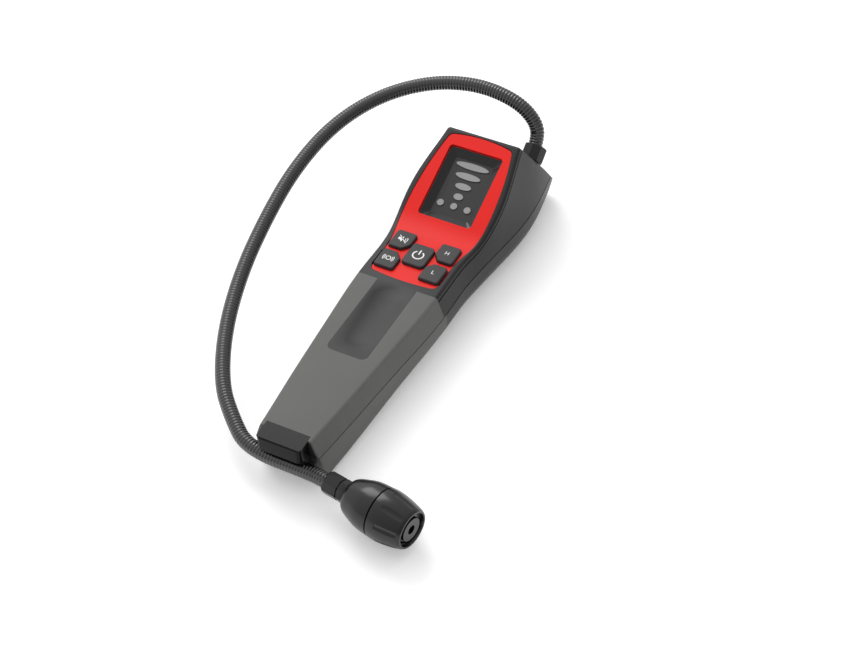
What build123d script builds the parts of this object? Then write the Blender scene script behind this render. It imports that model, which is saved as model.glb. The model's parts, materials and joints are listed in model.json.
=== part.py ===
from build123d import *
from functools import cache
from math import atan, cos, pi, radians, sin, sqrt, tan
import os

# A hand-held gas leak detector, lying on its back with its probe bent round and clipped under the
# end of the handle. It is drawn with Y measured from the end of the handle towards the head, and
# moved at the end, so that the origin is the middle of the flat on the back of the head.

# Case: half widths across the moulding seam and across the front edge, at stations along Y
SEAM_Z = 20.5
STATIONS = [
    # y, half width at seam, half width at front edge, height of back, radius of back corner
    (-6, 16.6, 13.0, -0.3, 5.0),
    (12, 18.2, 14.6, -0.3, 5.4),
    (40, 20.8, 17.2, 0.6, 7.0),
    (70, 23.2, 19.6, 2.8, 8.0),
    (98, 25.8, 21.7, 4.2, 9.4),
    (124, 27.1, 23.0, 3.9, 10.6),
    (146, 26.8, 22.9, 2.0, 12.0),
    (164, 28.3, 25.0, 0.7, 13.4),
    (182, 30.4, 26.8, -0.2, 14.6),
    (200, 32.3, 25.6, -0.4, 15.0),
    (216, 32.5, 22.6, -0.4, 15.0),
    (234, 30.6, 20.4, 0.4, 15.0),
    (256, 26.0, 18.5, 3.0, 13.0),
]
BODY_START = 8.5
FACE_END_Z = 30.9
FACE_Z = 33.0
FACE_LEVEL_Y = 125.0
BEND_Y = 166.3
BEND_RADIUS = 40.0
HEAD_TILT = 23.2
HEAD_END = (222.5, 57.0)
HEAD_END_LEAN = 35.1
END_SLANT = 0.317
WALL = 3.0
FACE_WALL = 4.6
GRIP_SKIN = 1.4
CREASE = 2.0
REST_Y = 205.0

# Grip overmould
GRIP_TOP = 121.5
THUMB_HALF, THUMB_START, THUMB_RADIUS = 11.5, 66.5, 45.0
REAR_GRIP_TOP = 124.0
REAR_BAND_TOP = 131.0

# Front panel and its display
PLATE_TOP, PLATE_BOTTOM = 0.3, 2.5
PANEL_START, PANEL_END = 126.5, 220.0
PANEL_BOW = 1.0
DISPLAY_SIZE = (31.6, 44.0)
DISPLAY_V = 29.6
TRAY_MARGIN, TRAY_RUN, TRAY_FLOOR, TRAY_BOTTOM = 1.7, 4.6, 4.8, 6.8
LIGHT_PITCH, LIGHT_FIRST_V = 6.3, 24.9
LIGHT_HALF = [2.7, 4.6, 7.3, 9.7]
LIGHT_RISE = 1.9
STATUS_V, STATUS_X = 18.9, 8.0
LIGHT_TOP, LIGHT_BOTTOM = 4.3, 8.9
DISPLAY_BOARD_DEPTH = 10.3
BOARD = 1.6

# Keys
KEY_TOP = 34.6
KEY_GAP = 0.3
POWER_KEY = (13.0, 16.0, 145.0)
UPPER_KEY_Y, LOWER_KEY_Y, SIDE_KEY_X = 152.3, 136.2, 13.1
SIDE_KEY = (11.4, 13.0)
KEY_CUT = 4.2
FLANGE_TOP, FLANGE_BOTTOM, STEM_BOTTOM = 30.2, 29.0, 27.2
SWITCH_TOP, KEY_BOARD_TOP = 26.2, 22.8

# Battery compartment and its sliding door
CELL_RADIUS, CELL_LENGTH, CELL_NUB = 7.1, 50.0, 1.2
CELL_X, CELL_Z, CELL_START = 7.6, 14.2, 18.0
BAY_HALF, BAY_START, BAY_END = 15.25, 14.6, 122.0
DOOR_HALF, DOOR_END, DOOR_SKIN = 15.0, 121.7, 2.0
DOOR_WALL_TOP = 8.4
BAY_SILL = 6.6
BAY_WALL_HALF = 16.9
CHANNEL_HALF, GROOVE_HALF = 13.2, 16.6
GROOVE_BOTTOM, GROOVE_TOP = 7.0, 8.6
REAR_HOLLOW_START, HOLLOW_END = 46.0, 252.0
GRIP_INNER_HALF = 17.5

# Probe
NECK_RADIUS, NECK_BORE, CABLE_RADIUS = 4.0, 2.4, 1.9
SOCKET_X, SOCKET_Z = 21.0, 37.0
NUT_FLATS, NUT_LENGTH, NUT_SIDES = 12.2, 8.5, 8
CLIP_Y, CLIP_Z, CLIP_RADIUS = 3.4, 15.0, 4.1
CLIP_HALF, LIP_BOTTOM = 12.3, 22.4
SENSOR_START = (26.3, 1.3, 16.0)
SENSOR_TURN = -9.9
# Route of the probe from the head to the sensor: bends between straight runs
ROUTE = [
    (17.3, 250.6, 53.5),
    (4.2, 253.0, 61.5),
    (-19.7, 254.1, 64.0),
    (-45.6, 246.9, 62.0),
    (-68.1, 228.9, 57.5),
    (-82.3, 201.4, 52.0),
    (-86.5, 166.3, 46.0),
    (-83.4, 129.9, 40.0),
    (-77.4, 93.9, 33.5),
    (-66.2, 58.6, 27.5),
    (-50.8, 29.6, 22.0),
    (-36.1, 15.2, 18.2),
    (-20.5, 3.4, 15.0),
    (16.0, 3.4, 15.0),
]

TILT = Plane(origin=(0, BEND_Y, FACE_Z), x_dir=(1, 0, 0),
             z_dir=(0, -sin(radians(HEAD_TILT)), cos(radians(HEAD_TILT))))
END_NORMAL = Vector(0, cos(radians(HEAD_END_LEAN)), sin(radians(HEAD_END_LEAN)))


def block(x0, x1, y0, y1, z0, z1):
    return Pos((x0 + x1) / 2, (y0 + y1) / 2, (z0 + z1) / 2) * Box(x1 - x0, y1 - y0, z1 - z0)


def prism(face, z0, z1):
    return extrude(Pos(0, 0, z0) * face, z1 - z0)


def post(x, y, radius, z0, z1):
    return Pos(x, y, (z0 + z1) / 2) * Cylinder(radius, z1 - z0)


def side_profile(points, half_width):
    """Solid whose section in the YZ plane is the polygon through the points."""
    face = Plane.YZ * make_face(Polyline(*points, close=True))
    return extrude(face, half_width, both=True)


def under_face(drop):
    """Everything below the front face lowered by drop: handle, keys, bend and tilted display."""
    lean = radians(HEAD_TILT)
    rise = atan((FACE_Z - FACE_END_Z) / FACE_LEVEL_Y)
    start = (-10.0, FACE_END_Z - 10 * tan(rise) - drop)
    level = (FACE_LEVEL_Y, FACE_Z - drop)
    corner = (BEND_Y + drop * tan(lean / 2), FACE_Z - drop)
    reach = 110.0
    top = (corner[0] + reach * cos(lean), corner[1] + reach * sin(lean))
    radius = BEND_RADIUS + drop
    cut = radius * tan(lean / 2)
    bend_in = (corner[0] - cut, corner[1])
    bend_out = (corner[0] + cut * cos(lean), corner[1] + cut * sin(lean))
    path = [
        Line(start, level), Line(level, bend_in),
        TangentArc(bend_in, bend_out, tangent=(1, 0)),
        Line(bend_out, top),
        Line(top, (top[0], -20)), Line((top[0], -20), (start[0], -20)), Line((start[0], -20), start),
    ]
    return extrude(Plane.YZ * make_face(path), 60, both=True)


def face_height(y):
    if y < FACE_LEVEL_Y:
        return FACE_END_Z + (FACE_Z - FACE_END_Z) * y / FACE_LEVEL_Y
    return FACE_Z + max(0.0, y - BEND_Y) * tan(radians(HEAD_TILT))


def case_section(station, inset):
    """Cross-section of the case: flared flanks above the seam, rounded back below it."""
    y, seam, edge, back, radius = station
    height = face_height(y)
    slope = (seam - edge) / (height - SEAM_Z)
    top = height + 5
    seam, back, radius = seam - inset, back + inset, radius - inset
    edge = seam - slope * (top - SEAM_Z)
    arc_z = back + radius
    k = radius * (1 - sqrt(0.5))
    right = [
        Line((-edge, top), (edge, top)),
        Line((edge, top), (seam, SEAM_Z)),
        Line((seam, SEAM_Z), (seam, arc_z)),
        ThreePointArc((seam, arc_z), (seam - k, back + k), (seam - radius, back)),
        Line((seam - radius, back), (radius - seam, back)),
        ThreePointArc((radius - seam, back), (k - seam, back + k), (-seam, arc_z)),
        Line((-seam, arc_z), (-seam, SEAM_Z)),
        Line((-seam, SEAM_Z), (-edge, top)),
    ]
    plane = Plane(origin=(0, y, 0), x_dir=(1, 0, 0), z_dir=(0, -1, 0))
    return plane * make_face(right)


def end_block(inset):
    """Half space on the case side of the head's leaning end, inset by a wall."""
    point = Vector(0, *HEAD_END) - END_NORMAL * inset
    plane = Plane(origin=point, x_dir=(1, 0, 0), z_dir=-END_NORMAL)
    return extrude(plane * Rectangle(400, 400), 400)


@cache
def case_body(inset=0.0, drop=0.0):
    """The whole outer form of the case, inset all round by a wall."""
    loft_body = loft([case_section(s, inset) for s in STATIONS])
    above_flats = block(-60, 60, -20, 300, inset, 100)
    return loft_body & under_face(drop) & end_block(inset) & above_flats


def handle_end(inset=0.0):
    """Space kept by the handle's end: upright above the seam and slanted below it."""
    start = BODY_START + inset
    low = start + END_SLANT * (SEAM_Z + 5)
    return side_profile([(start, 80), (300, 80), (300, -5), (low, -5), (start, SEAM_Z)], 60)


def panel_outline(margin=0.0):
    """Plan outline of the red panel: narrow at the keys, full at the display, drawn in at the top."""
    foot_y, top_y = PANEL_START - margin, PANEL_END + margin
    edge = [(19.4, 146), (22.2, 162), (23.8, 178), (23.2, 192), (21.4, 206), (18.4, 219.0)]
    edge = [(x + margin, y) for x, y in edge[:-1]] + [(edge[-1][0] + margin, edge[-1][1] + margin)]
    foot = (19.0 + margin, foot_y + 0.5)
    right = [Line(foot, edge[0]), Spline(*edge, tangents=[(0.03, 1), (-0.28, 1)])]
    left = [mirror(piece, Plane.YZ) for piece in right]
    top = ThreePointArc(edge[-1], (0, top_y + PANEL_BOW), (-edge[-1][0], edge[-1][1]))
    bottom = ThreePointArc(foot, (0, foot_y - PANEL_BOW), (-foot[0], foot[1]))
    face = make_face(right + left + [top, bottom])
    corners = face.vertices().sort_by(Axis.Y)
    return fillet(corners[:2] + corners[-2:], 3.0)


def power_outline():
    width, length, y = POWER_KEY
    return Pos(0, y) * RectangleRounded(width, length, 2.6)


def side_outline(side, y, cut_end):
    """Side key with the corner facing the power key cut away. cut_end is -1 at its foot, 1 at its top."""
    half_x, half_y = SIDE_KEY[0] / 2, SIDE_KEY[1] / 2
    inner = -side * half_x
    points = [
        (-inner, half_y), (-inner, -half_y),
        (inner, -half_y * cut_end), (inner, cut_end * (half_y - KEY_CUT)),
        (inner + side * KEY_CUT * 0.8, cut_end * half_y),
    ]
    if cut_end < 0:
        points = [points[1], points[0]] + points[2:]
    face = make_face(Polyline(*points, close=True))
    return Pos(side * SIDE_KEY_X, y) * fillet(face.vertices(), 1.6)


KEYS = {
    "power_button": (power_outline(), 0.0, POWER_KEY[2]),
    "sound_button": (side_outline(-1, UPPER_KEY_Y, -1), -SIDE_KEY_X, UPPER_KEY_Y),
    "vibrate_button": (side_outline(-1, LOWER_KEY_Y, 1), -SIDE_KEY_X, LOWER_KEY_Y),
    "high_button": (side_outline(1, UPPER_KEY_Y, -1), SIDE_KEY_X, UPPER_KEY_Y),
    "low_button": (side_outline(1, LOWER_KEY_Y, 1), SIDE_KEY_X, LOWER_KEY_Y),
}


def key(outline, x, y):
    cap = prism(outline, FLANGE_TOP, KEY_TOP)
    cap = fillet(cap.faces().sort_by(Axis.Z)[-1].edges(), 0.7)
    lugs = prism(offset(outline, 0.9), FLANGE_BOTTOM, FLANGE_TOP)
    half = outline.bounding_box().size.X / 2 - 0.6
    lugs &= block(x - half, x + half, y - 20, y + 20, 0, 60)
    return cap + lugs + post(x, y, 2.0, STEM_BOTTOM, FLANGE_BOTTOM)


def tilted(face, depth0, depth1):
    """Prism square to the tilted display face, between two depths below it."""
    return extrude(TILT * Pos(0, 0, -depth1) * face, depth1 - depth0)


def light_faces():
    faces = {}
    for number, half in enumerate(LIGHT_HALF):
        v = LIGHT_FIRST_V + number * LIGHT_PITCH
        faces[f"level_light_{number + 1}"] = Pos(0, v) * Ellipse(half, LIGHT_RISE)
    for number, x in enumerate((-STATUS_X, 0, STATUS_X)):
        faces[f"status_light_{number + 1}"] = Pos(x, STATUS_V) * Circle(LIGHT_RISE)
    return faces


def display_parts():
    """Sloping-sided tray, dark floor panel, seven light pipes, their lamps and the board."""
    width, length = DISPLAY_SIZE
    place = Pos(0, DISPLAY_V)
    outer = place * RectangleRounded(width + 2 * TRAY_MARGIN, length + 2 * TRAY_MARGIN, 3)
    tray = tilted(outer, PLATE_BOTTOM, TRAY_BOTTOM)
    mouth = TILT * Pos(0, 0, -PLATE_BOTTOM) * place * RectangleRounded(width, length, 2)
    floor = TILT * Pos(0, 0, -TRAY_FLOOR) * place
    floor *= RectangleRounded(width - 2 * TRAY_RUN, length - 2 * TRAY_RUN, 1)
    tray -= loft([floor, mouth])
    seat = (width - 2 * TRAY_RUN + 3, length - 2 * TRAY_RUN + 3)
    tray -= tilted(place * Rectangle(*seat), TRAY_FLOOR, TRAY_BOTTOM)
    for x in (-15.0, 15.0):
        for v in (DISPLAY_V - 21.0, DISPLAY_V + 21.0):
            tray += tilted(Pos(x, v) * Circle(2.0), TRAY_BOTTOM, DISPLAY_BOARD_DEPTH)
    panel = tilted(place * Rectangle(seat[0] - 0.1, seat[1] - 0.1), TRAY_FLOOR, TRAY_BOTTOM)
    lights = light_faces()
    parts = {}
    lamps = []
    for name, face in lights.items():
        parts[name] = tilted(face, LIGHT_TOP, LIGHT_BOTTOM)
        panel -= parts[name]
        lamp = Pos(face.center().X, face.center().Y) * Rectangle(3.0, 1.6)
        lamps.append(tilted(lamp, LIGHT_BOTTOM + 0.2, DISPLAY_BOARD_DEPTH))
    board = tilted(place * Rectangle(35, 48), DISPLAY_BOARD_DEPTH, DISPLAY_BOARD_DEPTH + BOARD)
    parts.update(display_tray=tray, display_panel=panel, display_board=board,
                 indicator_lamps=Compound(children=lamps))
    return parts


def cell_places():
    """Two columns of two cells end to end, the columns facing opposite ways."""
    for side in (-1, 1):
        for row in range(2):
            yield side, CELL_START + row * CELL_LENGTH + row * 1.0


def battery_cell(side, y):
    body_length = CELL_LENGTH - CELL_NUB
    body = Cylinder(CELL_RADIUS, body_length, align=(Align.CENTER, Align.CENTER, Align.MIN))
    body = fillet(body.edges(), 0.5)
    body += Pos(0, 0, body_length) * Cylinder(2.7, CELL_NUB, align=(Align.CENTER, Align.CENTER, Align.MIN))
    if side < 0:
        return Pos(side * CELL_X, y, CELL_Z) * Rot(-90, 0, 0) * body
    return Pos(side * CELL_X, y + CELL_LENGTH, CELL_Z) * Rot(90, 0, 0) * body


def contacts():
    """Sprung strip contacts: a bridge at the handle's end and a terminal for each column above."""
    low, high = CELL_Z - 4.5, CELL_Z + 4.5
    bridge = block(-CELL_X - 5, CELL_X + 5, 14.7, 15.2, low, high)
    for side in (-1, 1):
        x = side * CELL_X
        leaf = side_profile([(15.2, low + 1), (17.7, CELL_Z), (15.2, high - 1),
                             (15.2, high - 1.6), (17.0, CELL_Z), (15.2, low + 1.6)], 2.6)
        bridge += Pos(x, 0, 0) * leaf
    end = CELL_START + 2 * CELL_LENGTH + 1.0
    terminals = []
    for side in (-1, 1):
        x = side * CELL_X
        plate = block(x - 4.5, x + 4.5, BAY_END - 0.7, BAY_END - 0.2, low, high)
        leaf = side_profile([(BAY_END - 0.7, low + 1), (end + 0.3, CELL_Z), (BAY_END - 0.7, high - 1),
                             (BAY_END - 0.7, high - 1.6), (end + 0.9, CELL_Z),
                             (BAY_END - 0.7, low + 1.6)], 2.6)
        terminals.append(plate + Pos(x, 0, 0) * leaf)
    return bridge, terminals


def battery_door(body, skin):
    """Curved back cover with a raised end and side rails that run in the case's grooves."""
    door = (body - skin) & block(-DOOR_HALF, DOOR_HALF, 0, DOOR_END, -5, SEAM_Z) & handle_end()
    end_wall = body & (handle_end() - handle_end(2.0)) & block(-DOOR_HALF, DOOR_HALF, 0, 60, -5, BAY_SILL - 0.3)
    door = door & block(-40, 40, 0, 200, -5, DOOR_WALL_TOP) + end_wall
    for side in (-1, 1):
        x0, x1 = sorted((side * (DOOR_HALF - 1.5), side * DOOR_HALF))
        wall = block(x0, x1, 16.2, DOOR_END - 3, -5, DOOR_WALL_TOP) & body
        x0, x1 = sorted((side * (DOOR_HALF - 0.5), side * (DOOR_HALF + 1.3)))
        rail = block(x0, x1, 22.0, DOOR_END - 4, 7.2, DOOR_WALL_TOP) & body
        door += wall + rail
    return door


def clip_profile():
    """Side view of the probe clip: a lip over the probe, a back and a short hook under it."""
    face_z = face_height(0)
    outline = make_face(Polyline(
        (0, face_z - 0.4), (0.6, face_z), (BODY_START, face_height(BODY_START)), (11.4, face_height(11.4)),
        (11.4, 8.9), (5.2, 8.9), (4.2, 10.4), (2.4, LIP_BOTTOM), (0, LIP_BOTTOM), close=True))
    return outline - Pos(CLIP_Y, CLIP_Z) * Circle(CLIP_RADIUS)


def probe_clip():
    clip = extrude(Plane.YZ * clip_profile(), CLIP_HALF, both=True)
    clip = fillet([e for e in clip.edges().filter_by(Axis.Z) if e.center().Y < 0.1], 2.4)
    return fillet([e for e in clip.edges() if e.center().Y < 1.2 and e.center().Z > LIP_BOTTOM + 4], 0.5)


def sensor_place(shape):
    return Pos(*SENSOR_START) * Rot(0, 0, SENSOR_TURN) * shape


def turned(points):
    """Piece turned about the sensor head's axis from (distance, radius) points."""
    face = Plane.XY * make_face(Polyline(*points, close=True))
    return revolve(face, Axis.X)


def faceted_bar(flats, length, bore):
    bar = extrude(Plane.YZ * RegularPolygon(flats / 2, NUT_SIDES, major_radius=False), length)
    bar &= turned([(0, 0), (0, flats * 0.49), (length * 0.1, flats * 0.56),
                   (length * 0.9, flats * 0.56), (length, flats * 0.49), (length, 0)])
    return bar - extrude(Plane.YZ * Circle(bore), length)


def sensor_parts():
    """Everything on the end of the probe, along X from the start of its nut."""
    nut = faceted_bar(11.0, 13.4, NECK_RADIUS + 0.05)
    nut -= turned([(8.4, 5.0), (8.4, 9.0), (9.2, 9.0), (9.2, 5.0)])
    nut += turned([(9.0, 2.3), (9.0, 4.9), (13.4, 4.9), (13.4, 4.5), (19.5, 4.5), (19.5, 2.3)])
    body_face = make_face([
        Line((13.6, 4.6), (13.6, 7.3)),
        Spline((13.6, 7.3), (18.5, 10.4), (24.5, 12.3), (30.5, 12.9), tangents=[(0.6, 1), (1, 0.04)]),
        Polyline((30.5, 12.9), (32.2, 12.9), (32.2, 10.3), (38.0, 10.3), (38.0, 8.2), (34.0, 8.2),
                 (34.0, 6.5), (20.0, 6.5), (20.0, 4.6), (13.6, 4.6)),
    ])
    body = revolve(body_face, Axis.X)
    seal = Pos(33.0, 0, 0) * Rot(0, 90, 0) * Torus(11.15, 0.75)
    socket = turned([(34.1, 0), (34.1, 8.1), (37.8, 8.1), (37.8, 0)])
    can = turned([(37.8, 0), (37.8, 5.2), (38.8, 5.2), (38.8, 4.5), (45.0, 4.5), (45.0, 2.6),
                  (44.4, 2.6), (44.4, 0)])
    for turn in range(3):
        pin = Rot(turn * 120, 0, 0) * Pos(35.0, 2.8, 0) * Rot(0, 90, 0) * Cylinder(0.4, 5.8)
        can += pin
    socket -= can
    return dict(sensor_nut=nut, sensor_body=body, cap_seal=seal, sensor_socket=socket,
                sensor_element=can, sensor_cap=sensor_cap())


def sensor_cap():
    """Screwed front cap: tapering, with eight long flutes, a sunk face and a hub with the inlet."""
    cap_face = make_face([
        Line((33.1, 12.1), (33.1, 13.1)),
        Spline((33.1, 13.1), (38.0, 13.1), (45.0, 12.0), (50.2, 10.6), tangents=[(1, 0.1), (1, -0.35)]),
        Polyline((50.2, 10.6), (51.2, 9.9), (51.2, 9.0), (49.2, 8.4), (49.2, 6.4), (50.7, 6.1),
                 (50.7, 2.4), (46.6, 2.4), (46.6, 8.6), (38.6, 8.6), (38.6, 10.5), (34.1, 10.5),
                 (34.1, 12.1), (33.1, 12.1)),
    ])
    cap = revolve(cap_face, Axis.X)
    flute = Pos(44.0, 14.5, 0) * Rot(0, 0, -11) * Rot(0, 90, 0) * Cylinder(2.9, 12.0)
    for turn in range(8):
        cap -= Rot(turn * 45 + 22.5, 0, 0) * flute
    slot = make_face([ThreePointArc((0, 6.9), (-6.9, 0), (0, -6.9)), Line((0, -6.9), (0, -7.9)),
                      ThreePointArc((0, -7.9), (-7.9, 0), (0, 7.9)), Line((0, 7.9), (0, 6.9))])
    return cap - extrude(Plane.YZ.offset(46.0) * slot, 4)


def probe_path():
    """Straight runs joined by tangent arcs, from inside the head to inside the sensor's nut."""
    socket = Vector(SOCKET_X, HEAD_END[0] + (HEAD_END[1] - SOCKET_Z) * tan(radians(HEAD_END_LEAN)), SOCKET_Z)
    axis = Vector(cos(radians(SENSOR_TURN)), sin(radians(SENSOR_TURN)), 0)
    start = socket - END_NORMAL * 7
    first = socket + END_NORMAL * 12
    sensor = Vector(*SENSOR_START)
    points = [start, first] + [Vector(*p) for p in ROUTE] + [sensor - axis * 2, sensor + axis * 8.8]
    radii = []
    for before, here, after in zip(points, points[1:], points[2:]):
        turn = radians((here - before).get_angle(after - here))
        run = min((here - before).length, (after - here).length)
        radii.append(0.45 * run / tan(turn / 2))
    return points, radii, socket, axis


def probe_tube(outer, bore, points, radii):
    path = FilletPolyline(*points, radius=radii)
    plane = Plane(origin=path @ 0, z_dir=path % 0)
    ring = plane * Circle(outer)
    if bore:
        ring -= plane * Circle(bore)
    tube = sweep(ring, path)
    section = pi * (outer ** 2 - bore ** 2)
    print("probe length", round(path.length, 1), "volume ratio", round(tube.volume / section / path.length, 4))
    return tube


def along_end(shape, socket):
    """Place a piece drawn along +X so that it points out of the head's leaning end."""
    plane = Plane(origin=socket, x_dir=END_NORMAL, z_dir=(1, 0, 0))
    return plane * shape


def case_parts():
    """Two shells, the soft grip on each, the battery door, and the cuts that everything seats in."""
    body = case_body()
    body = fillet([e for e in body.edges() if e.center().Z > 30 and e.length > 20], CREASE)
    handle_stock = body & block(-60, 60, 0, max(GRIP_TOP, REAR_BAND_TOP) + 1, -20, 80)
    handle_stock -= case_body(GRIP_SKIN, GRIP_SKIN)
    hollow = case_body(WALL, FACE_WALL) & block(-60, 60, -20, HOLLOW_END, -20, 120)
    upper = block(-60, 60, -20, 300, SEAM_Z, 120)
    lower = block(-60, 60, -20, 300, -20, SEAM_Z)
    hollow_front = hollow & upper & handle_end(2.2)
    hollow_rear = hollow & lower & block(-60, 60, REAR_HOLLOW_START, 300, -20, 120)
    clip_room = extrude(Plane.YZ * clip_profile(), CLIP_HALF, both=True)
    clip_room += block(-CLIP_HALF, CLIP_HALF, -5, 8.4, 8, SEAM_Z + 1)

    window = Pos(0, (THUMB_START + 140) / 2) * RectangleRounded(2 * THUMB_HALF, 140 - THUMB_START, 3.6)
    front = (body & upper & handle_end()) - hollow_front
    soft = handle_stock & upper & handle_end() & block(-60, 60, 0, GRIP_TOP, 0, 80)
    soft -= prism(window, 0, 80)
    front -= soft
    scoop_z = FACE_Z + THUMB_RADIUS - 1.5
    low_y, high_y = THUMB_START + 13, GRIP_TOP - 11
    scoop = Pos(0, (low_y + high_y) / 2, scoop_z) * Rot(90, 0, 0) * Cylinder(THUMB_RADIUS, high_y - low_y)
    for y in (low_y, high_y):
        scoop += Pos(0, y, scoop_z) * Sphere(THUMB_RADIUS)
    front -= scoop & prism(window, 0, 80)

    pocket = (under_face(-6) - under_face(PLATE_BOTTOM)) & prism(panel_outline(0.2), 20, 100)
    plate = (under_face(PLATE_TOP) - under_face(PLATE_BOTTOM)) & prism(panel_outline(), 20, 100)
    opening = Pos(0, DISPLAY_V) * RectangleRounded(*DISPLAY_SIZE, 2)
    plate -= tilted(opening, -10, 10)
    width, length = DISPLAY_SIZE[0] + 2 * TRAY_MARGIN, DISPLAY_SIZE[1] + 2 * TRAY_MARGIN
    front -= pocket
    front -= tilted(Pos(0, DISPLAY_V) * RectangleRounded(width + 0.3, length + 0.3, 3), 0, 20)
    for outline, x, y in KEYS.values():
        plate -= prism(offset(outline, KEY_GAP), 20, 40)
        front -= prism(offset(outline, 1.25), 20, 40)
    rim_line = (case_body() - case_body(0.6)) & (under_face(2.2) - under_face(2.9))
    front -= rim_line & block(-60, 60, GRIP_TOP, 300, 20, 90)
    seam_line = block(-60, 60, 0, 300, SEAM_Z, SEAM_Z + 0.5) - case_body(0.9)
    front -= seam_line
    soft -= seam_line

    rear = (body & lower & handle_end()) - hollow_rear
    bay_walls = block(-BAY_WALL_HALF, BAY_WALL_HALF, 10, BAY_END + 1.6, 0, SEAM_Z)
    bay_walls -= block(-BAY_HALF, BAY_HALF, 0, BAY_END, -5, 30)
    rear += bay_walls & body & handle_end()
    rear -= block(-BAY_HALF, BAY_HALF, BAY_START, BAY_END, -5, 30)
    rear -= block(-BAY_HALF, BAY_HALF, -5, BAY_END, -5, BAY_SILL)
    for side in (-1, 1):
        x0, x1 = sorted((side * CHANNEL_HALF, side * GROOVE_HALF))
        rear -= block(x0, x1, -5, DOOR_END - 2, GROOVE_BOTTOM, GROOVE_TOP)
        x0, x1 = sorted((side * CHANNEL_HALF, side * BAY_HALF))
        rear -= block(x0, x1, -5, BAY_START, BAY_SILL - 0.1, GROOVE_BOTTOM + 0.1)
    region = block(-60, 60, 0, REAR_GRIP_TOP, -20, 60) + block(-18, 18, 100, REAR_BAND_TOP, -20, 60)
    rear_soft = handle_stock & lower & handle_end() & region
    rear_soft -= block(-GRIP_INNER_HALF, GRIP_INNER_HALF, -5, REAR_GRIP_TOP - 0.2, -20, 7.5)
    rear -= rear_soft
    door = battery_door(body, case_body(DOOR_SKIN, 0) & lower)
    front -= clip_room
    rear -= clip_room
    soft -= clip_room
    return dict(front_shell=front, rear_shell=rear, front_grip=soft, rear_grip=rear_soft,
                battery_door=door, face_plate=plate), body


def screw_places():
    return [(side * x, y) for side in (-1, 1) for x, y in ((21.0, 167.0), (20.0, 228.0))]


def fastened(case, body):
    """Screw posts in both shells, the posts that carry the key board, and the case screws."""
    inner = case_body(1.0, 1.0)
    screws = []
    for x, y in screw_places():
        front_post = post(x, y, 3.4, SEAM_Z, 60) & inner & under_face(PLATE_BOTTOM + 1.0)
        case["front_shell"] += front_post - tilted(Pos(0, DISPLAY_V) * Rectangle(37, 50), -20, 17)
        case["rear_shell"] += post(x, y, 4.4, 0, SEAM_Z) & inner
        case["rear_shell"] -= post(x, y, 3.2, -5, 9.0) + post(x, y, 1.7, 0, 30)
        case["front_shell"] -= post(x, y, 1.35, 0, 29.0)
        screw = post(x, y, 2.8, 6.6, 9.0) + post(x, y, 1.3, 9.0, 28.0)
        cross = Rectangle(3.2, 0.7) + Rectangle(0.7, 3.2)
        screws.append(screw - prism(Pos(x, y) * cross, 6.6, 7.8))
    for y in (131.6, 158.4):
        case["front_shell"] += post(0, y, 2.2, KEY_BOARD_TOP, 29.0) - post(0, y, 1.0, KEY_BOARD_TOP, 27.0)
    return Compound(children=screws)


def key_board_parts():
    board = block(-20, 20, 129.4, 160.6, KEY_BOARD_TOP - BOARD, KEY_BOARD_TOP)
    switches, screws = [], []
    for outline, x, y in KEYS.values():
        can = block(x - 3, x + 3, y - 3, y + 3, KEY_BOARD_TOP, SWITCH_TOP - 0.8)
        switches.append(can + post(x, y, 1.7, SWITCH_TOP - 0.8, SWITCH_TOP))
    for y in (131.6, 158.4):
        board -= post(0, y, 1.1, 0, 30)
        screws.append(post(0, y, 1.9, KEY_BOARD_TOP - BOARD - 1.2, KEY_BOARD_TOP - BOARD)
                      + post(0, y, 0.95, KEY_BOARD_TOP - BOARD, 26.5))
    return dict(key_board=board, key_switches=Compound(children=switches),
                board_screws=Compound(children=screws))


def motor_parts():
    """Vibration motor along X in its cradle, with the off-centre weight on its shaft."""
    y, z = 178.0, 9.6
    lying = Pos(0, y, z) * Rot(0, 90, 0)
    motor = lying * (Cylinder(5.0, 16.0) - Pos(0, 0, 5) * Cylinder(1.06, 6.2))
    sector = make_face([ThreePointArc((-4.4, 0), (0, -4.4), (4.4, 0)), Line((4.4, 0), (-4.4, 0))])
    weight = lying * (Pos(0, 0, 8.6) * Cylinder(1.0, 12.0)
                      + Pos(0, 0, 9.6) * extrude(Rot(0, 0, 90) * sector, 4.6)
                      + Pos(0, 0, 11.9) * Cylinder(1.9, 4.6))
    cradle = block(-6, 6, y - 6.4, y + 6.4, 1.5, z) - lying * Cylinder(5.0, 40)
    sounder = Pos(0, 210, 6.7) * (Cylinder(12.0, 6.4) - Pos(0, 0, 3.2) * Cylinder(2.0, 2.0))
    cradle += post(0, 210, 10.5, 1.5, 3.5)
    return dict(vibration_motor=motor, eccentric_weight=weight, sounder=sounder), cradle


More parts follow.
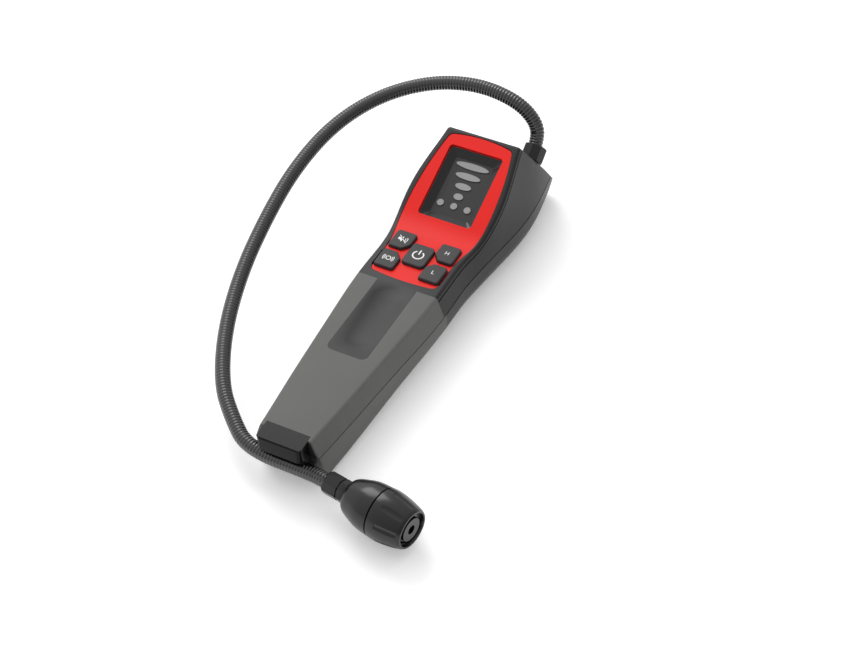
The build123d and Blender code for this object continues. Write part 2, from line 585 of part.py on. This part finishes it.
def main():
    os.makedirs("parts", exist_ok=True)
    case, body = case_parts()
    parts = {}
    parts["case_screws"] = fastened(case, body)
    motors, cradle = motor_parts()
    case["rear_shell"] += cradle
    points, radii, socket, axis = probe_path()
    print("probe bend radii", [round(r, 1) for r in radii])
    boss = along_end(Pos(-6, 0, 0) * Rot(0, 90, 0) * Cylinder(7.6, 12), socket)
    stem_bore = along_end(Rot(0, 90, 0) * Cylinder(5.4, 60), socket)
    case["front_shell"] += boss & case_body(0.5, 0.5) & block(-60, 60, 0, 300, SEAM_Z, 90)
    case["front_shell"] -= stem_bore & block(0, 60, 200, 300, 0, 90)
    nut = faceted_bar(NUT_FLATS, NUT_LENGTH, NECK_RADIUS + 0.05)
    stem = Pos(-4.5, 0, 0) * Rot(0, 90, 0) * (Cylinder(5.3, 9.0) - Cylinder(NECK_RADIUS + 0.05, 9.0))
    parts["probe_nut"] = along_end(nut + stem, socket)
    parts.update(case)
    parts["probe_clip"] = probe_clip()
    parts.update({name: key(*shape) for name, shape in KEYS.items()})
    parts.update(display_parts())
    parts.update(key_board_parts())
    parts.update(motors)
    for number, place in enumerate(cell_places()):
        parts[f"battery_cell_{number + 1}"] = battery_cell(*place)
    bridge, terminals = contacts()
    parts.update(contact_bridge=bridge, contact_plus=terminals[0], contact_minus=terminals[1])
    parts["gooseneck"] = probe_tube(NECK_RADIUS, NECK_BORE, points, radii)
    cable_points = [points[0] - END_NORMAL * 5] + points[1:-1] + [points[-1] + axis * 21.0]
    parts["sensor_cable"] = probe_tube(CABLE_RADIUS, 0, cable_points, radii)
    parts.update({name: sensor_place(shape) for name, shape in sensor_parts().items()})
    for name, shape in parts.items():
        export_step(Pos(0, -REST_Y, 0) * shape, f"parts/{name}.step")
    print(len(parts), "parts")


main()
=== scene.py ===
# %% [markdown]
# A hand-held gas leak detector lies on a white table, its probe bent round and clipped under the handle.
# The case, keys, panel and sensor head come in as finished solids at their real size, so this lesson is
# about what makes them look moulded, rubbery or painted, and about the few pieces that only a surface
# modeller makes well: the ribbed sleeve of the probe and the signs printed on the keys.

# %% Load the solids
import json
from math import cos, pi, radians, sin, tan

import bmesh
import bpy
from mathutils import Matrix, Vector


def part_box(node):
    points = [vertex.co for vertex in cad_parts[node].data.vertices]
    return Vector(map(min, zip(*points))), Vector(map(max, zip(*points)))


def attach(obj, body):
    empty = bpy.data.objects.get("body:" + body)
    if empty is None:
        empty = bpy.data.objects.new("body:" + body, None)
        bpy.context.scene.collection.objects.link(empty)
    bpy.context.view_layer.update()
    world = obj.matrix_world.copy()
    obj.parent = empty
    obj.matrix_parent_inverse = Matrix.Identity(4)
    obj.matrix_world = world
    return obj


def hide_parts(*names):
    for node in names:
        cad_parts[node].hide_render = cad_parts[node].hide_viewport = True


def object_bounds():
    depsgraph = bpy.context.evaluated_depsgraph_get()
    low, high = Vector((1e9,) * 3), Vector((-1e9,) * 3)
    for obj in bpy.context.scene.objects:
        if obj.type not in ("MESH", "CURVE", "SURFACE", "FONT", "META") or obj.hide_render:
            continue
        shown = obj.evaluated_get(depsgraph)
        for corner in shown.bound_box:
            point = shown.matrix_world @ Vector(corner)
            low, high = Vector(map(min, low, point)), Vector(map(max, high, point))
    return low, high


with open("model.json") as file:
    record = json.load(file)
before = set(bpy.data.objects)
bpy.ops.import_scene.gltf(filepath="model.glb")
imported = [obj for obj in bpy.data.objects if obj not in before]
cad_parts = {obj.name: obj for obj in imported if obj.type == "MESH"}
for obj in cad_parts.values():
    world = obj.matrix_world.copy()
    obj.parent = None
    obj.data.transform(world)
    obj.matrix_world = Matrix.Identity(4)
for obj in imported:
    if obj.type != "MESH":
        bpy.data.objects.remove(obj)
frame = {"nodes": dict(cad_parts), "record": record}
cad_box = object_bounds()
MM = 0.001
REST_STATION = 205.0
print(len(frame["nodes"]), "solids, box", [round(v / MM) for corner in cad_box for v in corner])


def at(x, station, z):
    """A point in metres from millimetres, with the station counted from the handle's end."""
    return Vector((x, station - REST_STATION, z)) * MM


# %% [markdown]
# The camera looks down over the right-hand side of the handle. Two angles can't say how much it is rolled
# about its own line of sight, so its forward and its upward direction are both written as vectors. Their
# cross product is the third direction, and the three together make its matrix.

# %% Camera
CAMERA_PLACE = at(383.12, -526.23, 737.24)
CAMERA_FORWARD = Vector((-0.35339, 0.62246, -0.69833)).normalized()
CAMERA_UP = Vector((-0.30483, 0.62913, 0.71504))
FRAME_WIDTH_PX, FOCAL_PX, SENSOR_MM = 850, 2000, 36.0

camera_right = CAMERA_FORWARD.cross(CAMERA_UP).normalized()
camera_up = camera_right.cross(CAMERA_FORWARD)
camera_data = bpy.data.cameras.new("camera")
camera_data.sensor_width = SENSOR_MM
camera_data.lens = FOCAL_PX / FRAME_WIDTH_PX * SENSOR_MM
camera = bpy.data.objects.new("camera", camera_data)
bpy.context.scene.collection.objects.link(camera)
turn = Matrix((camera_right, camera_up, -CAMERA_FORWARD)).transposed()
camera.matrix_world = Matrix.Translation(CAMERA_PLACE) @ turn.to_4x4()
bpy.context.scene.camera = camera
print("lens", round(camera_data.lens, 1), "mm")

# %% [markdown]
# The sky lights the object from all sides. It is brighter on the upper left, as a studio wall is, which
# shades the flanks and the hollow of the thumb rest. The dot product of a direction with the bright side
# runs from -1 to 1, and a Map Range node turns it into the sky's strength.

# %% Sky
SKY_DIM, SKY_BRIGHT = 0.10, 1.22
SKY_BRIGHT_SIDE = Vector((-0.75, 0.35, 0.55)).normalized()

bpy.context.scene.view_settings.view_transform = "Standard"
world = bpy.data.worlds.new("sky")
bpy.context.scene.world = world
world.use_nodes = True
sky = world.node_tree
background = sky.nodes["Background"]
background.inputs["Color"].default_value = (1, 1, 1, 1)
direction = sky.nodes.new("ShaderNodeTexCoord")
brightness = sky.nodes.new("ShaderNodeVectorMath")
brightness.operation = "DOT_PRODUCT"
brightness.inputs[1].default_value = SKY_BRIGHT_SIDE
strength = sky.nodes.new("ShaderNodeMapRange")
strength.inputs["From Min"].default_value = -1.0
strength.inputs["To Min"].default_value = SKY_DIM
strength.inputs["To Max"].default_value = SKY_BRIGHT
sky.links.new(direction.outputs["Generated"], brightness.inputs[0])
sky.links.new(brightness.outputs["Value"], strength.inputs["Value"])
sky.links.new(strength.outputs["Result"], background.inputs["Strength"])
print("sky strength", SKY_DIM, "to", SKY_BRIGHT)

# %% [markdown]
# One lamp on the sky's bright side gives the shadow its direction, to the lower right. It is broad, because
# the edge of a shadow is as soft as its lamp is wide. It looks at the middle of the object.

# %% Key lamp
KEY_LAMP_WATTS, KEY_LAMP_SIZE = 8.5, 0.8
KEY_LAMP_PLACE = Vector((-0.75, 0.55, 1.15))

lamp_data = bpy.data.lights.new("key_lamp", "AREA")
lamp_data.energy, lamp_data.size = KEY_LAMP_WATTS, KEY_LAMP_SIZE
key_lamp = bpy.data.objects.new("key_lamp", lamp_data)
bpy.context.scene.collection.objects.link(key_lamp)
lamp_view = (cad_box[0] + cad_box[1]) / 2 - KEY_LAMP_PLACE
key_lamp.location = KEY_LAMP_PLACE
key_lamp.rotation_euler = lamp_view.to_track_quat("-Z", "Y").to_euler()
print("key lamp", round(lamp_view.length, 2), "m from the object")

# %% [markdown]
# The table is one plane, far larger than the camera sees. It is added with the operator that a person
# would use by hand. Operators work on all that is selected, and the loaded solids are, so everything is
# deselected first.

# %% Table
TABLE_SIZE = 6.0


def deselect():
    """Select nothing, so that the next operator works only on what it makes."""
    bpy.ops.object.select_all(action="DESELECT")


deselect()
bpy.ops.mesh.primitive_plane_add(size=TABLE_SIZE)
table = bpy.context.object
table.name = "table"
print("table", TABLE_SIZE, "m across")

# %% [markdown]
# A material's maths reads better as an expression than as a list of nodes. This class wraps one socket,
# so that `grain * 0.2 + 0.5` adds the Math nodes for it. Every other node comes from Finish.node, which
# takes the kind of node, its settings and the values or links of its sockets.


# %% Shader expressions
class Socket:
    """An output of a shader node that can be written into sums and products."""

    def __init__(self, finish, socket):
        self.finish, self.socket = finish, socket

    def maths(self, operation, first, second):
        return self.finish.node("Math", dict(operation=operation), {0: first, 1: second})

    def __add__(self, other):
        return self.maths("ADD", self, other)

    def __radd__(self, other):
        return self.maths("ADD", other, self)

    def __mul__(self, other):
        return self.maths("MULTIPLY", self, other)

    def __rmul__(self, other):
        return self.maths("MULTIPLY", other, self)


class Finish:
    """A material with one Principled shader, and short ways to add what varies over its surface."""

    def __init__(self, name, colour, roughness, **plain):
        self.material = bpy.data.materials.new(name)
        self.material.use_nodes = True
        self.tree = self.material.node_tree
        self.shader = self.tree.nodes["Principled BSDF"]
        self.colour = colour
        self.shader.inputs["Base Color"].default_value = (*colour, 1)
        self.shader.inputs["Roughness"].default_value = roughness
        for socket, value in plain.items():
            self.shader.inputs[socket.replace("_", " ")].default_value = value
        self.place = self.node("TexCoord", output="Object")

    def feed(self, socket, value):
        """Link a socket to an expression, or set it to a plain value."""
        if isinstance(value, Socket):
            self.tree.links.new(value.socket, socket)
        else:
            socket.default_value = value

    def node(self, kind, settings=None, sockets=None, output=0):
        """Add a node and give back one of its outputs."""
        made = self.tree.nodes.new("ShaderNode" + kind)
        for name, value in (settings or {}).items():
            setattr(made, name, value)
        for name, value in (sockets or {}).items():
            self.feed(made.inputs[name], value)
        return Socket(self, made.outputs[output])

    def noise(self, size_mm, detail=2.0):
        """Cloudy pattern from 0 to 1 whose patches are about size_mm across."""
        sockets = {"Vector": self.place, "Scale": 1 / (size_mm * MM), "Detail": detail}
        return self.node("TexNoise", sockets=sockets)

    def vary_colour(self, amount, pattern):
        """Darken and lighten the base colour by a share that follows the pattern."""
        dark = (*[c * (1 - amount) for c in self.colour], 1)
        light = (*[min(1.0, c * (1 + amount)) for c in self.colour], 1)
        mixed = self.node("Mix", dict(data_type="RGBA"), {0: pattern, 6: dark, 7: light}, output=2)
        self.feed(self.shader.inputs["Base Color"], mixed)

    def vary_roughness(self, low, high, pattern):
        """Let the roughness run from low to high with the pattern."""
        self.feed(self.shader.inputs["Roughness"], pattern * (high - low) + low)

    def bump(self, height, depth_mm):
        """Make the surface look uneven by depth_mm, without moving it."""
        sockets = {"Height": height, "Distance": depth_mm * MM, "Strength": 1.0}
        self.feed(self.shader.inputs["Normal"], self.node("Bump", sockets=sockets))


# %% [markdown]
# The table is white paper. The object hides part of the sky from the floor around it, and that alone would
# turn a wide area grey. So the table also glows faintly by itself, the same all over. It then renders as
# pure white up to the soft shadow that lies close to the object.

# %% Table finish
TABLE_WHITE, TABLE_GLOW = (0.94, 0.94, 0.94), 0.24
TABLE_ROUGHNESS, TABLE_SMOOTHEST, TABLE_ROUGHEST = 0.9, 0.85, 0.95
PAPER_CLOUD_MM = 40.0

table_finish = Finish("white_table", TABLE_WHITE, TABLE_ROUGHNESS, Specular_IOR_Level=0.0,
                      Emission_Color=(1, 1, 1, 1), Emission_Strength=TABLE_GLOW)
table_finish.vary_roughness(TABLE_SMOOTHEST, TABLE_ROUGHEST, table_finish.noise(PAPER_CLOUD_MM))
table.data.materials.append(table_finish.material)
print("table glow", TABLE_GLOW)

# %% [markdown]
# A moulded surface is never quite even. A fine grain roughens it, and broad, faint clouds change its colour
# and its gloss from place to place. Both are noise on the piece's own coordinates, so they stay with a key
# when it goes down. Every finish of the object is made this way. Its numbers are the base colour, the
# roughness, and the grain's size and depth in millimetres.

# %% Moulded finish
GRAIN_DETAIL = 3.0
CLOUD_MM = 18.0
COLOUR_SHARE, CLOUDS_IN_COLOUR = 0.12, 0.5
GLOSSIER, DULLER, GRAIN_IN_GLOSS = 0.06, 0.08, 0.6
FINISHES = {}


def moulded(name, colour, roughness, grain_mm, depth_mm, **plain):
    """Make a grained and clouded finish, and keep its material under its name."""
    finish = Finish(name, colour, roughness, **plain)
    grain = finish.noise(grain_mm, GRAIN_DETAIL)
    clouds = finish.noise(CLOUD_MM)
    finish.vary_colour(COLOUR_SHARE, clouds * CLOUDS_IN_COLOUR + grain * (1 - CLOUDS_IN_COLOUR))
    gloss = grain * GRAIN_IN_GLOSS + clouds * (1 - GRAIN_IN_GLOSS)
    finish.vary_roughness(roughness - GLOSSIER, roughness + DULLER, gloss)
    finish.bump(grain, depth_mm)
    FINISHES[name] = finish.material


# %% [markdown]
# The hard case is dark grey, and the clip on the handle's end is near black and smoother. The soft grips
# are moulded over the case in rubber. They are the palest of the three and the dullest.

# %% Case, clip and grips
moulded("case_plastic", (0.016, 0.016, 0.017), 0.38, 0.55, 0.03, Specular_IOR_Level=0.26)
moulded("clip_plastic", (0.004, 0.004, 0.005), 0.24, 0.8, 0.012, Specular_IOR_Level=0.12)
moulded("grip_rubber", (0.124, 0.124, 0.121), 0.60, 0.45, 0.03, Specular_IOR_Level=0.25)
print("case finishes", list(FINISHES))

# %% [markdown]
# The panel is red plastic. A glossy black tray slopes down through it to the dark floor of the display,
# where pale windows cover the lights. The keys are silicone rubber, which is dull.

# %% Panel, display and keys
moulded("panel_red", (0.76, 0.007, 0.003), 0.40, 0.5, 0.012, Specular_IOR_Level=0.2)
moulded("tray_black", (0.005, 0.005, 0.006), 0.20, 0.5, 0.004, Specular_IOR_Level=0.4)
moulded("display_dark", (0.026, 0.026, 0.027), 0.5, 0.5, 0.015, Specular_IOR_Level=0.3)
moulded("light_pale", (0.27, 0.27, 0.275), 0.32, 0.6, 0.008)
moulded("key_grey", (0.038, 0.038, 0.040), 0.55, 0.4, 0.02, Specular_IOR_Level=0.35)
print(len(FINISHES), "finishes with the panel's")

# %% [markdown]
# The probe, its nuts and the sensor head are near black. The probe has the strongest reflection of them,
# because its ribs catch the light all along the loop. The cap's seal is dull rubber.

# %% Probe and sensor head
moulded("probe_black", (0.006, 0.006, 0.007), 0.20, 0.5, 0.004, Specular_IOR_Level=0.9)
moulded("nut_black", (0.010, 0.010, 0.011), 0.28, 0.6, 0.01, Specular_IOR_Level=0.35)
moulded("sensor_plastic", (0.005, 0.005, 0.006), 0.23, 0.7, 0.006, Specular_IOR_Level=0.45)
moulded("seal_rubber", (0.015, 0.015, 0.015), 0.6, 0.4, 0.01)
moulded("cable_jacket", (0.05, 0.05, 0.05), 0.5, 0.5, 0.01)
print(len(FINISHES), "finishes with the probe's")

# %% [markdown]
# Most of these pieces show only when the case is taken apart: clear lamps on green boards, the sounder,
# the jackets of the cells, and small metal parts. The metals differ in colour, gloss and grain. A Metallic
# of 1 gives their reflections the colour of the metal.

# %% Inside and small metal parts
METAL_DEPTH_MM = 0.006

moulded("lamp_clear", (0.8, 0.8, 0.75), 0.1, 0.8, 0.005)
moulded("board_green", (0.02, 0.16, 0.06), 0.35, 0.7, 0.01)
moulded("cell_jacket", (0.03, 0.03, 0.03), 0.25, 1.0, 0.005)
moulded("sounder_black", (0.02, 0.02, 0.02), 0.5, 0.5, 0.01)
for name, colour, roughness, grain_mm in (
    ("switch_metal", (0.55, 0.55, 0.54), 0.32, 0.4),
    ("screw_steel", (0.32, 0.32, 0.33), 0.34, 0.4),
    ("contact_steel", (0.6, 0.59, 0.56), 0.28, 0.5),
    ("motor_steel", (0.55, 0.55, 0.56), 0.3, 0.5),
    ("weight_brass", (0.62, 0.44, 0.18), 0.3, 0.5),
    ("sensor_metal", (0.66, 0.63, 0.56), 0.26, 0.5),
):
    moulded(name, colour, roughness, grain_mm, METAL_DEPTH_MM, Metallic=1.0)
print(len(FINISHES), "finishes in all")

# %% [markdown]
# The loaded solids are loose triangles. Welding them lets smooth shading run across a curved face, and
# splitting at sharp edges keeps the moulded corners crisp. Both are modifiers that stay live, so the
# loaded mesh itself isn't changed.

# %% Dress the solids
WELD_MM = 0.002
SHARP_ANGLE = radians(32)

for entry in frame["record"]["subparts"]:
    solid = frame["nodes"][entry["node"]]
    solid.data.materials.clear()
    solid.data.materials.append(FINISHES[entry["material_slot"]])
    solid.data.polygons.foreach_set("use_smooth", [True] * len(solid.data.polygons))
    solid.data.polygons.foreach_set("material_index", [0] * len(solid.data.polygons))
    weld = solid.modifiers.new("weld", "WELD")
    weld.merge_threshold = WELD_MM * MM
    split = solid.modifiers.new("split", "EDGE_SPLIT")
    split.split_angle = SHARP_ANGLE

# %% [markdown]
# The probe leaves its socket square to the head's leaning end, loops round to the left and comes back
# through the clip into the sensor's nut. The solid has straight runs between these points, joined by arcs.
# A NURBS curve of order 3 on the same points rounds the same corners: it touches each run at its middle.

# %% Probe route
HEAD_END_LEAN = radians(35.1)
HEAD_END_STATION, HEAD_END_Z = 222.5, 57.0
SOCKET_X, SOCKET_Z = 21.0, 37.0
INSIDE_SOCKET_MM, OUTSIDE_SOCKET_MM = 7, 12
SENSOR_START = at(26.3, 1.3, 16.0)
SENSOR_TURN = radians(-9.9)
BEFORE_SENSOR_MM, INSIDE_SENSOR_MM = 2, 8.8
CURVE_ORDER, CURVE_STEPS = 3, 24
ROUTE = [
    (17.3, 250.6, 53.5), (4.2, 253.0, 61.5), (-19.7, 254.1, 64.0), (-45.6, 246.9, 62.0),
    (-68.1, 228.9, 57.5), (-82.3, 201.4, 52.0), (-86.5, 166.3, 46.0), (-83.4, 129.9, 40.0),
    (-77.4, 93.9, 33.5), (-66.2, 58.6, 27.5), (-50.8, 29.6, 22.0), (-36.1, 15.2, 18.2),
    (-20.5, 3.4, 15.0), (16.0, 3.4, 15.0),
]

socket_station = HEAD_END_STATION + (HEAD_END_Z - SOCKET_Z) * tan(HEAD_END_LEAN)
socket_start = at(SOCKET_X, socket_station, SOCKET_Z)
socket_axis = Vector((0, cos(HEAD_END_LEAN), sin(HEAD_END_LEAN)))
sensor_axis = Vector((cos(SENSOR_TURN), sin(SENSOR_TURN), 0))
points = [socket_start - socket_axis * INSIDE_SOCKET_MM * MM]
points += [socket_start + socket_axis * OUTSIDE_SOCKET_MM * MM]
points += [at(*place) for place in ROUTE]
points += [SENSOR_START - sensor_axis * BEFORE_SENSOR_MM * MM]
points += [SENSOR_START + sensor_axis * INSIDE_SENSOR_MM * MM]

line_data = bpy.data.curves.new("probe_line", "CURVE")
line_data.dimensions = "3D"
line_data.resolution_u = CURVE_STEPS
spline = line_data.splines.new("NURBS")
spline.points.add(len(points) - 1)
for point, place in zip(spline.points, points):
    point.co = (*place, 1)
spline.order_u = CURVE_ORDER
spline.use_endpoint_u = True
probe_line = bpy.data.objects.new("probe_line", line_data)
bpy.context.scene.collection.objects.link(probe_line)
probe_length = spline.calc_length()
print("probe line", round(probe_length / MM, 1), "mm")

# %% [markdown]
# The probe's skin is ribbed all along. One rib is modelled: a ring of points is drawn out four times, and
# swells and shrinks on the way. An Array repeats it as often as the route is long, and a Curve modifier
# bends the straight sleeve along the route. Both are applied, the rings that meet are merged, and the two
# ends are closed. The sleeve stands in for the solid's plain tube.

# %% Probe sleeve
RIB_PITCH_MM, RIB_RADIUS_MM, VALLEY_RADIUS_MM = 1.7, 4.0, 3.7
RISE, CREST, FALL, VALLEY = 0.2, 0.5, 0.2, 0.1
RIB_SIDES = 24
MERGE_MM = 0.01
SMOOTH_ANGLE = radians(50)


def apply_modifiers(piece):
    """Make the piece's modifiers part of its mesh."""
    deselect()
    piece.select_set(True)
    bpy.context.view_layer.objects.active = piece
    for modifier in list(piece.modifiers):
        bpy.ops.object.modifier_apply(modifier=modifier.name)


deselect()
bpy.ops.mesh.primitive_circle_add(vertices=RIB_SIDES, radius=VALLEY_RADIUS_MM * MM, rotation=(0, pi / 2, 0))
bpy.ops.object.transform_apply(location=True, rotation=True, scale=True)
sleeve = bpy.context.object
sleeve.name = "probe_sleeve"
bpy.ops.object.mode_set(mode="EDIT")
bpy.ops.mesh.select_all(action="SELECT")
swell, shrink = RIB_RADIUS_MM / VALLEY_RADIUS_MM, VALLEY_RADIUS_MM / RIB_RADIUS_MM
for share, growth in ((RISE, swell), (CREST, 1.0), (FALL, shrink), (VALLEY, 1.0)):
    step = RIB_PITCH_MM * MM * share
    bpy.ops.mesh.extrude_region_move(TRANSFORM_OT_translate={"value": (step, 0, 0)})
    bpy.ops.transform.resize(value=(1, growth, growth))
bpy.ops.object.mode_set(mode="OBJECT")
ribs = sleeve.modifiers.new("ribs", "ARRAY")
ribs.fit_type = "FIT_LENGTH"
ribs.fit_length = probe_length
ribs.use_merge_vertices = True
ribs.merge_threshold = MERGE_MM * MM
bend = sleeve.modifiers.new("bend", "CURVE")
bend.object = probe_line
apply_modifiers(sleeve)
bpy.ops.object.mode_set(mode="EDIT")
bpy.ops.mesh.select_all(action="SELECT")
bpy.ops.mesh.remove_doubles(threshold=MERGE_MM * MM)
bpy.ops.mesh.fill_holes(sides=RIB_SIDES)
bpy.ops.mesh.normals_make_consistent(inside=False)
bpy.ops.object.mode_set(mode="OBJECT")
bpy.ops.object.shade_smooth_by_angle(angle=SMOOTH_ANGLE)
bpy.data.objects.remove(probe_line)
sleeve.data.materials.append(FINISHES["probe_black"])
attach(sleeve, "case")
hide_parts("gooseneck")
print("sleeve", len(sleeve.data.polygons), "faces")

# %% [markdown]
# The keys carry white signs, printed on the rubber. Each sign is a flat piece, thickened by a Solidify
# modifier to the depth of a print. It rides on its own key, so it goes down with it.

# %% Print on a key
PRINT_MM = 0.05

moulded("white_print", (0.80, 0.80, 0.79), 0.5, 0.3, 0.004)


def key_top(name):
    """Middle of a key's top face."""
    low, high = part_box(name)
    return Vector(((low.x + high.x) / 2, (low.y + high.y) / 2, high.z))


def finish_sign(piece, name, body):
    """Give a flat sign its thickness and finish, and let it ride on its key."""
    piece.name = name
    deselect()
    piece.select_set(True)
    bpy.context.view_layer.objects.active = piece
    bpy.ops.object.transform_apply(location=True, rotation=True, scale=True)
    thick = piece.modifiers.new("thick", "SOLIDIFY")
    thick.thickness, thick.offset = PRINT_MM * MM, 1.0
    apply_modifiers(piece)
    piece.data.materials.clear()
    piece.data.materials.append(FINISHES["white_print"])
    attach(piece, body)
    print(name, len(piece.data.polygons), "faces")


# %% [markdown]
# The drawn signs are flat strokes. An arc is a band of quads, and a bar is one quad. Their corners are
# worked out in millimetres about the middle of the key, and each outline becomes a face of one mesh.


# %% Strokes
def arc_band(centre, radius, width, start, end, steps):
    """Quads along an arc, in millimetres and degrees counted anticlockwise from +X."""
    quads = []
    for i in range(steps):
        a = radians(start + (end - start) * i / steps)
        b = radians(start + (end - start) * (i + 1) / steps)
        inner, outer = radius - width / 2, radius + width / 2
        ring = [(inner, a), (outer, a), (outer, b), (inner, b)]
        quads.append([(centre[0] + r * cos(t), centre[1] + r * sin(t)) for r, t in ring])
    return quads


def bar(start, end, width):
    """A straight stroke between two points."""
    along = Vector((end[0] - start[0], end[1] - start[1])).normalized()
    side = Vector((-along.y, along.x)) * width / 2
    return [(start[0] - side.x, start[1] - side.y), (end[0] - side.x, end[1] - side.y),
            (end[0] + side.x, end[1] + side.y), (start[0] + side.x, start[1] + side.y)]


def flat_shape(outlines, place):
    """One flat mesh, face up, from outlines in millimetres about a place."""
    mesh = bpy.data.meshes.new("sign")
    made = bmesh.new()
    for outline in outlines:
        made.faces.new([made.verts.new(place + Vector((x, y, 0)) * MM) for x, y in outline])
    bmesh.ops.recalc_face_normals(made, faces=made.faces)
    for face in made.faces:
        if face.normal.z < 0:
            face.normal_flip()
    made.to_mesh(mesh)
    made.free()
    piece = bpy.data.objects.new("sign", mesh)
    bpy.context.scene.collection.objects.link(piece)
    return piece


# %% [markdown]
# A ring with a gap and a bar is the usual sign for power. A crossed-out speaker turns the sound off. A
# small ring with waves on both sides is the vibration.

# %% Power, sound and vibrate signs
KEY_MIDDLE = (0, 0)
POWER_MIDDLE, POWER_RADIUS, POWER_STROKE, POWER_STEPS = (0, -0.3), 2.9, 0.75, 40
POWER_GAP_FROM_TOP = 35
POWER_BAR_START, POWER_BAR_END = (0, 0.1), (0, 3.6)
SPEAKER = [(-2.6, -0.9), (-1.4, -0.9), (0.0, -2.2), (0.0, 2.2), (-1.4, 0.9), (-2.6, 0.9)]
WAVE_STROKE, SOUND_WAVE_SPREAD = 0.4, 42
SOUND_WAVES = [(1.6, 10), (2.7, 12)]
CROSS_START, CROSS_END, CROSS_STROKE = (-2.7, 2.4), (2.7, -2.4), 0.45
SHAKEN_RADIUS, SHAKEN_STROKE, SHAKEN_STEPS = 1.3, 0.5, 28
SHAKE_RADII, SHAKE_SPREAD, SHAKE_STEPS = (2.3, 3.1), 38, 12

power_strokes = arc_band(POWER_MIDDLE, POWER_RADIUS, POWER_STROKE,
                         90 + POWER_GAP_FROM_TOP, 450 - POWER_GAP_FROM_TOP, POWER_STEPS)
power_strokes += [bar(POWER_BAR_START, POWER_BAR_END, POWER_STROKE)]
sound_strokes = [SPEAKER]
for radius, steps in SOUND_WAVES:
    sound_strokes += arc_band(KEY_MIDDLE, radius, WAVE_STROKE, -SOUND_WAVE_SPREAD, SOUND_WAVE_SPREAD, steps)
sound_strokes += [bar(CROSS_START, CROSS_END, CROSS_STROKE)]
vibrate_strokes = arc_band(KEY_MIDDLE, SHAKEN_RADIUS, SHAKEN_STROKE, 0, 360, SHAKEN_STEPS)
for facing in (0, 180):
    for radius in SHAKE_RADII:
        vibrate_strokes += arc_band(KEY_MIDDLE, radius, WAVE_STROKE,
                                    facing - SHAKE_SPREAD, facing + SHAKE_SPREAD, SHAKE_STEPS)
for name, strokes in (("power", power_strokes), ("sound", sound_strokes), ("vibrate", vibrate_strokes)):
    button = name + "_button"
    finish_sign(flat_shape(strokes, key_top(button)), name + "_sign", button)

# %% [markdown]
# H and L, for high and low, are plain letters. Blender's own text makes them, and it is turned into a mesh
# before its place is applied.

# %% Letters
LETTER_MM = 3.6


def letter(text, place):
    """A flat letter with its middle at a place."""
    deselect()
    bpy.ops.object.text_add(location=place)
    made = bpy.context.object
    made.data.body = text
    made.data.size = LETTER_MM * MM
    made.data.align_x, made.data.align_y = "CENTER", "CENTER"
    bpy.ops.object.convert(target="MESH")
    return bpy.context.object


for text, name in (("H", "high"), ("L", "low")):
    button = name + "_button"
    finish_sign(letter(text, key_top(button)), name + "_sign", button)
